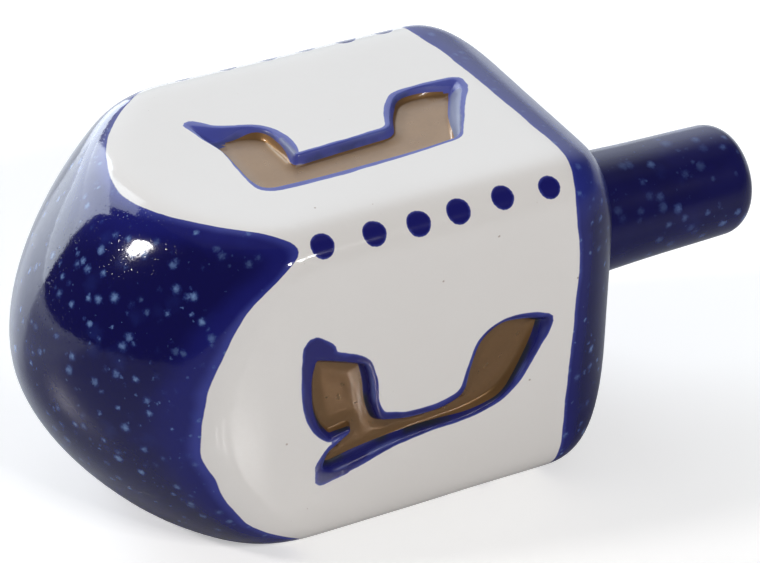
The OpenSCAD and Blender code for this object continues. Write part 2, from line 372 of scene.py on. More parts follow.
def eased_square_reach(turn, half, corner):
    """The same square, with its round corners running softly into the flat sides."""
    beside = square_reach(turn - EDGE_EASE, half, corner) + square_reach(turn + EDGE_EASE, half, corner)
    return (beside + 2 * square_reach(turn, half, corner)) / 4 - EASE_ROOM


def nose_reach(x):
    """Radius of the nose, as if there were no flat sides."""
    share = np.clip((NOSE_END_X - x) / (NOSE_END_X - TIP_X), 0, 1)
    return NOSE_RADIUS * np.maximum(1 - share**NOSE_BLUNTNESS, 0) ** (1 / NOSE_ROUNDNESS)


def section(x):
    """Half width and corner radius of the bar, which draws in to a circle along the shoulder."""
    along = np.clip((x - SHOULDER_X) / SHOULDER_LENGTH, 0, 1)
    end = (SEAT_RADIUS / HALF_WIDTH) ** SHOULDER_SQUARENESS
    half = HALF_WIDTH * (1 - (1 - end) * along**SHOULDER_TURN) ** (1 / SHOULDER_SQUARENESS)
    corner = EDGE_RADIUS / HALF_WIDTH
    return half, half * (corner + (1 - corner) * along**SHOULDER_ROUNDING)


def hand_wave(x, turn):
    """How far the cast clay lies inside its true shape, because a mould is sponged by hand."""
    slow = np.sin(x / 6.1 + 1.3) * np.cos(3 * turn + 0.4)
    quick = np.sin(x / 3.7 - 2 * turn + 2.0) * np.cos(5 * turn + x / 9.0)
    return HAND_WAVE * (1 + 0.6 * slow + 0.4 * quick)


def body_reach(x, turn):
    half, corner = section(x)
    true_reach = soft_smaller(eased_square_reach(turn, half, corner), nose_reach(x), NOSE_BLEND)
    fade = np.clip((x - TIP_X) / WAVE_FADE, 0, 1) * np.clip((SEAT_X - x) / WAVE_FADE, 0, 1)
    return true_reach - hand_wave(x, turn) * fade


def body_point(x, turn):
    """Points of the outside of the body, in millimetres in the frame."""
    reach = body_reach(x, turn)
    return np.stack([x, reach * np.cos(turn), AXIS_HEIGHT + reach * np.sin(turn)], axis=-1)


def rounded_line(points):
    """Samples a closed line whose corners are rounded, and carries its brush and wall widths along."""
    corners = np.array(points, dtype=float)
    bends = []
    for i, here in enumerate(corners):
        ends = []
        for other in (corners[i - 1], corners[(i + 1) % len(corners)]):
            room = np.hypot(*(other - here)[:2])
            ends.append(here + (other - here) * min(here[2] / room, MOST_OF_SIDE))
        bends.append((ends[0], here, ends[1]))
    samples = []
    for i, (start, here, end) in enumerate(bends):
        length = np.hypot(*(start - here)[:2]) + np.hypot(*(end - here)[:2])
        pieces = max(int(math.ceil(length / LETTER_STEP)), 3)
        for t in [k / pieces for k in range(pieces)]:
            samples.append((1 - t) ** 2 * start + 2 * t * (1 - t) * here + t**2 * end)
        straight = bends[(i + 1) % len(bends)][0] - end
        pieces = max(int(math.ceil(np.hypot(*straight[:2]) / LETTER_STEP)), 1)
        for k in range(pieces):
            samples.append(end + straight * k / pieces)
    return np.array(samples)


def line_direction(line):
    """Unit direction that points into the letter, for every sample of a closed line."""
    ahead = np.roll(line[:, :2], -1, axis=0) - np.roll(line[:, :2], 1, axis=0)
    ahead /= np.maximum(np.linalg.norm(ahead, axis=1, keepdims=True), 1e-9)
    x, y = line[:, 0], line[:, 1]
    area = np.sum(x * np.roll(y, -1) - np.roll(x, -1) * y)
    return np.stack([-ahead[:, 1], ahead[:, 0]], axis=1) * (1 if area > 0 else -1)


def stroke_reach(places, strokes):
    """How far inside the widest of some brush strokes each place is."""
    reach = np.full(len(places), FAR_OUT)
    for start, end in strokes:
        a = np.array(start)
        b = np.array(end)
        step = b[:2] - a[:2]
        t = np.clip((places - a[:2]) @ step / np.sum(step**2), 0, 1)
        away = np.linalg.norm(places - a[:2] - t[:, None] * step, axis=1)
        reach = np.maximum(reach, a[2] + (b[2] - a[2]) * t - away)
    return reach


def letter_fields(places, lines, strokes):
    """What each place on a side has: the share of the wall gone down (wall), the millimetres inside the
    rim (inner), inside the painted line (brush), and inside the gold (gold)."""
    result = {name: np.full(len(places), FAR_OUT) for name in ("wall", "inner", "brush", "gold")}
    for line in lines:
        after = np.roll(line, -1, axis=0)
        step = after - line
        size = np.maximum(np.sum(step[:, :2] ** 2, axis=1), 1e-9)
        rise = np.where(np.abs(step[:, 1]) < 1e-12, 1e-12, step[:, 1])
        for start in range(0, len(places), BATCH):
            some = places[start:start + BATCH]
            off = some[:, None, :] - line[None, :, :2]
            t = np.clip(np.sum(off * step[:, :2], axis=2) / size, 0, 1)
            away = np.linalg.norm(off - t[..., None] * step[:, :2], axis=2)
            brush_width, wall_width, gold_share = (line[:, k] + step[:, k] * t for k in (3, 4, 5))
            x, y = some[:, :1], some[:, 1:]
            passed = (line[:, 1] > y) != (after[:, 1] > y)
            crossed = passed & (x < line[:, 0] + (y - line[:, 1]) * step[:, 0] / rise)
            inside = np.where(np.sum(crossed, axis=1) % 2 == 1, 1, -1)
            every = np.arange(len(some))
            nearest = np.argmin(away / wall_width, axis=1)
            wall_here = wall_width[every, nearest]
            inner = inside * away[every, nearest]
            wall = inner / wall_here
            outside = np.max(brush_width - away, axis=1)
            spread = np.where(inside > 0, brush_width[every, nearest] + inner, outside)
            part = slice(start, start + BATCH)
            nearer = wall > result["wall"][part]
            found = {"wall": wall, "inner": inner, "gold": inner - gold_share[every, nearest] * wall_here}
            for name, values in found.items():
                result[name][part] = np.where(nearer, values, result[name][part])
            result["brush"][part] = np.maximum(result["brush"][part], spread)
    result["brush"] = np.maximum(result["brush"], stroke_reach(places, strokes))
    return result


def sunk_depth(wall, inner):
    """Depth of the clay below its side: a rounded rim, a sloping wall, and a floor dished like a spoon."""
    t = np.clip((wall + RIM_ROUND) / (1 + RIM_ROUND), 0, 1)
    slope = t * t * (3 - 2 * t)
    dish = np.clip(inner / DISH_WIDTH, 0, 1)
    return LETTER_DEPTH * ((1 - DISH_SHARE) * slope + DISH_SHARE * dish * dish * (3 - 2 * dish))


def without_neighbours(points):
    """Leaves out every point that is nearer than the least gap to one already kept."""
    cells = {}
    result = []
    for p in points:
        cell = (int(math.floor(p[0] / LEAST_GAP)), int(math.floor(p[1] / LEAST_GAP)))
        beside = [(cell[0] + i, cell[1] + j) for i in (-1, 0, 1) for j in (-1, 0, 1)]
        near = [q for place in beside for q in cells.get(place, ())]
        if all((p[0] - q[0]) ** 2 + (p[1] - q[1]) ** 2 >= LEAST_GAP**2 for q in near):
            cells.setdefault(cell, []).append(p)
            result.append(p)
    return result


def panel_points(lines):
    """Points of one side: rows along the rim, the gold's edge and the walls, and an even net elsewhere."""
    kept = []
    for line in lines:
        inward = line_direction(line)
        for share in (line[:, 5:6], *WALL_ROWS):
            row = line[:, :2] + inward * line[:, 4:5] * share
            found = letter_fields(row, lines, ())["wall"]
            kept.extend(row[np.abs(found - np.ravel(share)) < SHARE_SLACK].tolist())
    for line in lines:
        inward = line_direction(line)
        for gap in RIM_ROWS:
            row = (line[:, :2] - inward * gap)[::1 if gap < CLOSE_BY else 2]
            kept.extend(row[letter_fields(row, lines, ())["wall"] < 0].tolist())
    room = NET_GAP / 2
    kept = without_neighbours(
        (across, up) for across, up in kept
        if abs(across) < PANEL_HALF - room and PANEL_LOW + room < up < PANEL_HIGH - room
    )
    tree = KDTree(len(kept))
    for i, p in enumerate(kept):
        tree.insert((p[0], p[1], 0), i)
    tree.balance()
    net = []
    rows = int(round((PANEL_HIGH - PANEL_LOW) / NET_GAP))
    columns = int(round(2 * PANEL_HALF / NET_GAP))
    for i in range(1, rows):
        up = PANEL_LOW + (PANEL_HIGH - PANEL_LOW) * i / rows
        for j in range(1, columns):
            across = -PANEL_HALF + 2 * PANEL_HALF * j / columns
            if tree.find((across, up, 0))[2] > room:
                net.append((across, up))
    return kept + net


def bell(turn, direction, spread, full=360):
    """1 in a direction round the axis, falling off on both sides of it, and again after every full turn."""
    past = np.mod(np.degrees(turn) - direction + full / 2, full) - full / 2
    return np.exp(-((past / spread) ** 2))


def nose_line(turn):
    """Place along the axis to which the blue of the nose was painted."""
    on_middle, off_middle = square_parts(turn)
    flat_end = HALF_WIDTH - EDGE_RADIUS
    bend = EDGE_RADIUS * math.pi / 4
    across = off_middle / on_middle * HALF_WIDTH
    edge_angle = math.pi / 4 - math.atan2(flat_end, HALF_WIDTH)
    on_edge = bend * (math.pi / 4 - np.arctan2(off_middle, on_middle)) / edge_angle
    to_edge = np.where(across < flat_end, flat_end - across + bend, on_edge)
    blunt = flat_end + bend - np.sqrt(to_edge**2 + NOSE_LINE_CUSP**2)
    rise = NOSE_LINE_RISE * (np.maximum(blunt, 0) / (flat_end + bend)) ** NOSE_LINE_CURVE
    drift = 0.25 * np.sin(3 * turn + 0.8) + 0.45 * np.sin(7 * turn - 0.77)
    for direction, shift, spread in NOSE_LINE_WANDER:
        drift = drift + shift * bell(turn, direction, spread)
    return NOSE_LINE_X + rise + drift


def shoulder_line(turn):
    """Place along the axis from which the shoulder was painted blue. The hand let it wander."""
    wander = turn - math.radians(140)
    dip = SHOULDER_LINE_DIP * bell(turn, 51, 9, 90)
    return SHOULDER_LINE_X + 0.85 * np.cos(wander) + 0.5 * np.cos(2 * wander) - dip


def dot_reach(points):
    """How far inside a dot each point is. A dot is a touch of the brush, a little off its row."""
    steady = np.random.default_rng(7)
    reach = np.full(len(points), FAR_OUT)
    for row_turn, slant, places in DOT_ROWS:
        for x in places:
            turn = math.radians(row_turn + slant * x) + steady.uniform(-DOT_TURN_SLIP, DOT_TURN_SLIP)
            width = DOT_RADIUS + steady.uniform(-DOT_WIDTH_SLIP, DOT_WIDTH_SLIP)
            centre = body_point(np.array(x), np.array(turn))
            away = np.linalg.norm((points - centre) * [DOT_SLIMNESS, 1, 1], axis=1)
            reach = np.maximum(reach, width - away)
    return reach


def directions():
    """Directions of the lines that run along the body, and which of them border or cross a panel."""
    lines_across = int(round(PANEL_HALF / LINE_GAP))
    panel = [PANEL_HALF * i / lines_across for i in range(-lines_across, lines_across + 1)]
    flat_end = HALF_WIDTH - EDGE_RADIUS
    beside = [PANEL_HALF + (flat_end - PANEL_HALF) * i / BESIDE_LINES for i in range(1, BESIDE_LINES + 1)]
    edge_start = math.atan2(flat_end, HALF_WIDTH)
    turns = []
    marks = []
    for side in range(4):
        middle = math.radians(90 * side)
        for w in [-b for b in reversed(beside)] + panel + beside:
            turns.append(middle + math.atan2(w, HALF_WIDTH))
            marks.append((side, w) if abs(w) <= PANEL_HALF + 1e-6 else None)
        for i in range(1, EDGE_LINES):
            turns.append(middle + edge_start + (math.pi / 2 - 2 * edge_start) * i / EDGE_LINES)
            marks.append(None)
    return np.array(turns), marks


def along_places():
    """Places of the rings round the body, close together at the tip and at the seat."""
    nose = [
        TIP_X + (PANEL_START_X - TIP_X) * (1 - math.cos(math.pi / 2 * i / NOSE_RINGS))
        for i in range(1, NOSE_RINGS)
    ]
    length = PANEL_END_X - PANEL_START_X
    middle_rings = int(round(length / RING_GAP))
    middle = [PANEL_START_X + length * i / middle_rings for i in range(middle_rings + 1)]
    shoulder = [
        PANEL_END_X + (SEAT_X - PANEL_END_X) * math.sin(math.pi / 2 * i / SHOULDER_RINGS)
        for i in range(1, SHOULDER_RINGS + 1)
    ]
    return np.array(nose + middle + shoulder), len(nose), len(nose) + middle_rings


def put(name, data):
    """Puts a mesh, lamp or camera into the scene."""
    thing = bpy.data.objects.new(name, data)
    bpy.context.scene.collection.objects.link(thing)
    return thing


def make_piece(name, points, faces, fields, replaces=()):
    """Makes a smooth mesh piece out of millimetre points, with its painted fields."""
    mesh = bpy.data.meshes.new(name)
    mesh.from_pydata((np.asarray(points) * MM).tolist(), [], faces)
    mesh.validate()
    for field, values in fields.items():
        layer = mesh.attributes.new(field, "FLOAT", "POINT")
        layer.data.foreach_set("value", np.asarray(values, dtype=np.float32))
    mesh.polygons.foreach_set("use_smooth", [True] * len(mesh.polygons))
    mesh.set_sharp_from_angle(angle=SHARP_ANGLE)
    mesh.update()
    piece = put(name, mesh)
    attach(piece, "root")
    if replaces:
        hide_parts(*replaces)
    return piece


def round_ring(x, radius, turns):
    """Points of a circle round the spin axis."""
    return [(x, radius * math.cos(turn), AXIS_HEIGHT + radius * math.sin(turn)) for turn in turns]


def band(lower, upper, count):
    """Faces between two rings of points, given the number of the first point of each."""
    faces = []
    for i in range(count):
        j = (i + 1) % count
        faces.append((lower + i, lower + j, upper + j, upper + i))
    return faces


def renumbered(faces):
    """The points that some faces use, and the faces by the new numbers of these points."""
    used = sorted({v for face in faces for v in face})
    order = {v: i for i, v in enumerate(used)}
    return used, [tuple(order[v] for v in face) for face in faces]


def close_ends(turns, last, total):
    """Points and faces that close the body at its tip and in its pour hole, which the stem stops."""
    count = len(turns)
    hole_end = SEAT_X - TENON_LENGTH - HOLE_SPARE
    mouth = [(SEAT_X, HOLE_RADIUS + HOLE_CHAMFER), (SEAT_X - HOLE_CHAMFER, HOLE_RADIUS)]
    extra = [(TIP_X, 0, AXIS_HEIGHT)]
    faces = [(i, total, (i + 1) % count) for i in range(count)]
    total += 1
    lower = last
    for x, radius in mouth + [(hole_end, HOLE_RADIUS)]:
        extra += round_ring(x, radius, turns)
        faces += band(lower, total, count)
        lower = total
        total += count
    extra.append((hole_end, 0, AXIS_HEIGHT))
    faces += [(lower + i, lower + (i + 1) % count, total) for i in range(count)]
    return extra, faces


def cast_body():
    """The body with its four sunk letters as one closed surface, and what the gold films lie on."""
    turns, marks = directions()
    places, panel_first, panel_last = along_places()
    count = len(turns)
    rings = len(places)
    x, turn = (grid.ravel() for grid in np.meshgrid(places, turns, indexing="ij"))
    total = len(x)
    plain = {name: np.full(total, FAR_OUT) for name in LETTER_FIELDS}
    parts = [dict(plain, thin_paint=np.zeros(total), x=x, turn=turn, point=body_point(x, turn))]
    crosses = [a and b and a[0] == b[0] for a, b in zip(marks, marks[1:] + marks[:1])]
    faces = []
    for ring in range(rings - 1):
        on_rows = panel_first <= ring < panel_last
        quads = band(ring * count, (ring + 1) * count, count)
        faces += [quad for quad, on_panel in zip(quads, crosses) if not (on_rows and on_panel)]

    films = []
    for side, (letter, lines, facing, thin_paint) in enumerate(SIDES):
        middle = math.radians(facing)
        samples = [rounded_line(line) for line in lines]
        inner = panel_points(samples)
        border_index = []
        border_place = []
        for ring in range(panel_first, panel_last + 1):
            for i, mark in enumerate(marks):
                if mark and mark[0] == side:
                    on_side = abs(abs(mark[1]) - PANEL_HALF) < 1e-6
                    if on_side or ring in (panel_first, panel_last):
                        border_index.append(ring * count + i)
                        border_place.append((mark[1], places[ring] - NOSE_ROOT_X))
        flat = [Vector(p) for p in border_place + inner]
        cut_points, _, cut_faces, origins, *_ = delaunay_2d_cdt(flat, [], [], 0, 1e-7)
        new_places = []
        lookup = []
        for place, sources in zip(cut_points, origins):
            if sources and sources[0] < len(border_index):
                lookup.append(border_index[sources[0]])
            else:
                lookup.append(total + len(new_places))
                new_places.append(tuple(place))
        new_places = np.array(new_places)
        here = letter_fields(new_places, samples, WIDE_STROKES[letter])
        here["bare"] = stroke_reach(new_places, BARE_STROKES[letter])
        here["wash_and_reflection"] = stroke_reach(new_places, WASH_AND_REFLECTION_STROKES[letter])
        here["thin_paint"] = np.full(len(new_places), thin_paint)
        here["x"] = new_places[:, 1] + NOSE_ROOT_X
        here["turn"] = middle + np.arctan2(new_places[:, 0], HALF_WIDTH)
        outward = np.array([0, math.cos(middle), math.sin(middle)])
        depth = sunk_depth(here["wall"], here["inner"])[:, None]
        here["point"] = body_point(here["x"], here["turn"]) - outward * depth
        triangles = [tuple(lookup[v] for v in t) for t in cut_faces]
        faces += triangles
        films.append((letter, total, here, outward, triangles))
        parts.append(here)
        total += len(new_places)

    extra, end_faces = close_ends(turns, (rings - 1) * count, total)
    faces += end_faces
    fields = {name: np.concatenate([part[name] for part in parts]) for name in parts[0]}
    points, x, turn = (fields.pop(name) for name in ("point", "x", "turn"))
    fields["dot"] = dot_reach(points)
    outside = np.full(len(extra), FAR_OUT)
    fields = {name: np.concatenate([values, outside]) for name, values in fields.items()}
    # How far inside the painted blue each point is. The ends are well inside it
    line = np.maximum(nose_line(turn) - x, x - shoulder_line(turn))
    fields["blue_line"] = np.concatenate([line, -outside])
    points = np.concatenate([points, np.array(extra, dtype=float)])
    used, faces = renumbered(faces)
    fields = {name: values[used] for name, values in fields.items()}
    piece = make_piece("glazed_body", points[used], faces, fields, ["body"])
    return piece, films


def gold_film(letter, first, here, outward, triangles):
    """The thin wash of gold on the floor of one letter, as a closed skin that lies on the clay."""
    gold = here["gold"]
    surface = here["point"]
    corners = np.array(triangles) - first
    under_gold = (corners >= 0) & (gold[np.maximum(corners, 0)] > GOLD_EDGE)
    corners = corners[under_gold.all(axis=1)]
    # Every patch takes the number of its first point, and small crumbs are left out
    patch = np.arange(len(surface))
    before = None
    while not np.array_equal(before, patch):
        before = patch.copy()
        np.minimum.at(patch, corners, patch[corners].min(axis=1, keepdims=True))
    own_patch = patch[corners[:, 0]]
    large = np.bincount(own_patch)[own_patch] > SMALLEST_PATCH
    used, faces = renumbered(corners[large].tolist())
    edges = dict.fromkeys(edge for t in faces for edge in zip(t, t[1:] + t[:1]))
    rim = [(a, b) for a, b in edges if (b, a) not in edges]
    border = {v for edge in rim for v in edge}
    lift = np.clip(gold[used] / FILM_SLOPE, 0, 1) * GOLD_FILM
    lift = np.array([0.0 if v in border else max(h, THINNEST_FILM) for v, h in enumerate(lift)])
    upper = surface[used] + outward * (lift + FILM_CLEAR)[:, None]
    lower = surface[used] - outward * FILM_ROOT
    count = len(used)
    faces += [tuple(count + v for v in reversed(t)) for t in faces]
    faces += [(b, a, count + a, count + b) for a, b in rim]
    fields = {name: np.tile(here[name][used], 2) for name in ("gold", "bare")}
    return make_piece("gold_" + letter, np.concatenate([upper, lower]), faces, fields)


def turned_piece(name, profile, node):
    """A piece turned round the spin axis, from a closed line of (height above the seat, radius) points."""
    turns = [2 * math.pi * i / TURN_STEPS for i in range(TURN_STEPS)]
    points = []
    faces = []
    for row, (height, radius) in enumerate(profile):
        points += round_ring(SEAT_X + height, radius, turns)
        faces += band(row * TURN_STEPS, (row + 1) % len(profile) * TURN_STEPS, TURN_STEPS)
    return make_piece(name, points, faces, {}, [node])


def stem_radius(height):
    return STEM_ROOT_RADIUS + (STEM_END_RADIUS - STEM_ROOT_RADIUS) * height / STEM_STRAIGHT


def make_stem():
    rows = 30
    end_rows = 14
    profile = [(-TENON_LENGTH, VENT_RADIUS), (-TENON_LENGTH, TENON_RADIUS - TENON_CHAMFER)]
    profile += [(-TENON_LENGTH + TENON_CHAMFER, TENON_RADIUS), (-STEM_CHAMFER, TENON_RADIUS)]
    profile += [(0, TENON_RADIUS), (0, STEM_ROOT_RADIUS - STEM_CHAMFER), (STEM_CHAMFER, STEM_ROOT_RADIUS)]
    for i in range(1, rows + 1):
        height = STEM_STRAIGHT * i / rows
        hollow = THUMB_HOLLOW * math.sin(math.pi * i / rows) ** 2
        profile.append((height, stem_radius(height) - hollow))
    for i in range(1, end_rows + 1):
        bend = math.pi / 2 * i / end_rows
        height = STEM_STRAIGHT + STEM_EDGE_RADIUS * math.sin(bend)
        profile.append((height, STEM_END_RADIUS - STEM_EDGE_RADIUS + STEM_EDGE_RADIUS * math.cos(bend)))
    profile += [(STEM_LENGTH - below, radius) for below, radius in VENT_MOUTH]
    profile.append((2, VENT_RADIUS))
    return turned_piece("glazed_stem", profile, "stem")


def make_slip_ring():
    profile = [(0, STEM_ROOT_RADIUS), (0, SLIP_FOOT_RADIUS)]
    rows = 14
    for i in range(rows + 1):
        bend = math.pi / 2 * i / rows
        height = SLIP_HEIGHT - SLIP_RADIUS * math.cos(bend)
        profile.append((height, SLIP_FOOT_RADIUS - SLIP_RADIUS * math.sin(bend)))
    profile.append((SLIP_HEIGHT, stem_radius(SLIP_HEIGHT)))
    return turned_piece("slip_fillet", profile, "slip_ring")


# Height of the glaze's dimples at full strength
DIMPLE = 0.05


def maths(operation, swapped=False):
    """A method of Flow that adds one sum to the material."""
    def method(self, other):
        values = (other, self) if swapped else (self, other)
        return self.recipe.add("ShaderNodeMath", {"operation": operation}, dict(enumerate(values)))
    return method


class Flow:
    """A value on its way through a material's nodes, so that shader maths reads as plain sums."""

    def __init__(self, recipe, socket):
        self.recipe = recipe
        self.socket = socket

    __add__ = maths("ADD")
    __radd__ = maths("ADD", True)
    __sub__ = maths("SUBTRACT")
    __rsub__ = maths("SUBTRACT", True)
    __mul__ = maths("MULTIPLY")
    __rmul__ = maths("MULTIPLY", True)
    __truediv__ = maths("DIVIDE")
    __rtruediv__ = maths("DIVIDE", True)
    __gt__ = maths("GREATER_THAN")
    larger = maths("MAXIMUM")

    def beside(self, out):
        """Another output of the same node."""
        return Flow(self.recipe, self.socket.node.outputs[out])

    def rise(self, low, high):
        """0 below low and 1 above high, with a soft passage between them."""
        sockets = {"Value": self, "From Min": low, "From Max": high}
        return self.recipe.add("ShaderNodeMapRange", {"interpolation_type": "SMOOTHSTEP"}, sockets)

    def blend(self, under, top):
        """One colour where this is 0, and another over it where this is 1."""
        under, top = [c + (1,) if isinstance(c, tuple) else c for c in (under, top)]
        settings = {"data_type": "RGBA", "clamp_factor": True}
        return self.recipe.add("ShaderNodeMix", settings, {0: self, 6: under, 7: top}, out=2)


class Recipe:
    """A material, or the light of the room, whose nodes are added one by one."""

    def __init__(self, material, output="ShaderNodeOutputMaterial"):
        material.use_nodes = True
        self.material = material
        self.tree = material.node_tree
        self.tree.nodes.clear()
        self.output = self.tree.nodes.new(output)
        # Place on the piece, in metres
        self.place = self.add("ShaderNodeTexCoord", out="Object")

    def add(self, kind, settings=None, sockets=None, out=0):
        """Adds a node, sets it up, gives its sockets values or links, and returns one of its outputs."""
        node = self.tree.nodes.new(kind)
        for name, value in (settings or {}).items():
            setattr(node, name, value)
        for key, value in (sockets or {}).items():
            if isinstance(value, Flow):
                self.tree.links.new(value.socket, node.inputs[key])
            else:
                node.inputs[key].default_value = value
        return Flow(self, node.outputs[out])

    def axis(self, name):
        """One of the three measures of the place."""
        return self.add("ShaderNodeSeparateXYZ", {}, {0: self.place}, out=name)

    def field(self, name):
        """One of the fields painted on the piece's points."""
        settings = {"attribute_type": "GEOMETRY", "attribute_name": name}
        return self.add("ShaderNodeAttribute", settings, out="Fac")

    def noise(self, size, detail=2.0, roughness=0.5, out="Fac"):
        """Cloudy noise from 0 to 1 with blotches about that many millimetres wide."""
        sockets = {"Vector": self.place, "Scale": 1 / (size * MM), "Detail": detail, "Roughness": roughness}
        return self.add("ShaderNodeTexNoise", {"noise_dimensions": "3D"}, sockets, out)

    def shaken(self, size, amount):
        """The place, pushed about by noise, so that spots lose their round outline."""
        vector_maths = "ShaderNodeVectorMath"
        cloud = self.noise(size, out="Color")
        centred = self.add(vector_maths, {"operation": "SUBTRACT"}, {0: cloud, 1: (0.5, 0.5, 0.5)})
        pushed = self.add(vector_maths, {"operation": "SCALE"}, {0: centred, "Scale": amount * MM})
        return self.add(vector_maths, {"operation": "ADD"}, {0: self.place, 1: pushed})

    def specks(self, place, spacing, largest, share):
        """Specks at scattered places: 1 in the middle of a speck, falling to 0 at its border."""
        sockets = {"Vector": place, "Scale": 1 / (spacing * MM), "Randomness": 1.0}
        settings = {"voronoi_dimensions": "3D", "feature": "F1"}
        cells = self.add("ShaderNodeTexVoronoi", settings, sockets, out="Distance")
        chance = self.add("ShaderNodeSeparateColor", {}, {0: cells.beside("Color")})
        radius = (chance.beside(1) * 0.7 + 0.3) * (largest / spacing)
        return (1 - cells / radius).larger(0.0) * (chance > 1 - share)

    def orange_peel(self):
        """Height of the fine dimples and slow waves that a run glaze has."""
        return self.noise(1.5, 2.0, 0.55) + self.noise(6.0, 1.0) * 1.2

    def finish(self, colour, roughness, sheen, dimples, strength):
        """The glaze's own surface, with its dimples."""
        bump = {"Height": dimples, "Distance": DIMPLE * MM, "Strength": strength}
        normal = self.add("ShaderNodeBump", {}, bump)
        sockets = {"Base Color": colour, "Roughness": roughness, "Normal": normal, **sheen}
        return self.show(self.add("ShaderNodeBsdfPrincipled", {}, sockets))

    def show(self, surface):
        self.tree.links.new(surface.socket, self.output.inputs["Surface"])
        return self.material


def cobalt(recipe, thickness, deep, middle, blur=0):
    """Colour of the sprayed cobalt glaze: deep where it is thick, brighter where it thins out, with the
    pale specks and soft blooms that the spray leaves. Where it ran, the specks are larger and blurred."""
    cloud = recipe.noise(8, 3)
    depth = (thickness + cloud * 2 - 1).rise(0, 2.4)
    blue = depth.blend((0.036, 0.046, 0.285), middle)
    blue = (thickness + cloud * 5 - 2.5).rise(2.5, 9).blend(blue, deep)
    clusters = recipe.noise(12, 2).rise(0.4, 0.6)
    rough_place = recipe.shaken(0.5, 0.75)
    size = 1 + 0.4 * blur
    stars = recipe.specks(rough_place, 2.15 * size, 1.2 * size, 0.8)
    blooms = recipe.specks(recipe.shaken(1.1, 1.3), 4.2, 2.1, 0.6)
    dust = recipe.specks(rough_place, 1.15, 0.4, 0.35)
    blue = (blooms * clusters * 0.22).blend(blue, (0.03, 0.06, 0.33))
    dusted = dust.rise(0.1, 0.8) * (clusters * 0.45 + 0.12) * (1 - blur * 0.7)
    blue = dusted.blend(blue, (0.1, 0.18, 0.44))
    strength = clusters * 0.62 + 0.24
    blue = (stars.rise(0, 0.65) * strength * 0.45).blend(blue, (0.04, 0.08, 0.34))
    heart = stars.rise(0.28 - 0.23 * blur, 0.95 + 0.3 * blur)
    return (heart * strength * (1 - 0.55 * blur)).blend(blue, (0.175, 0.285, 0.52))


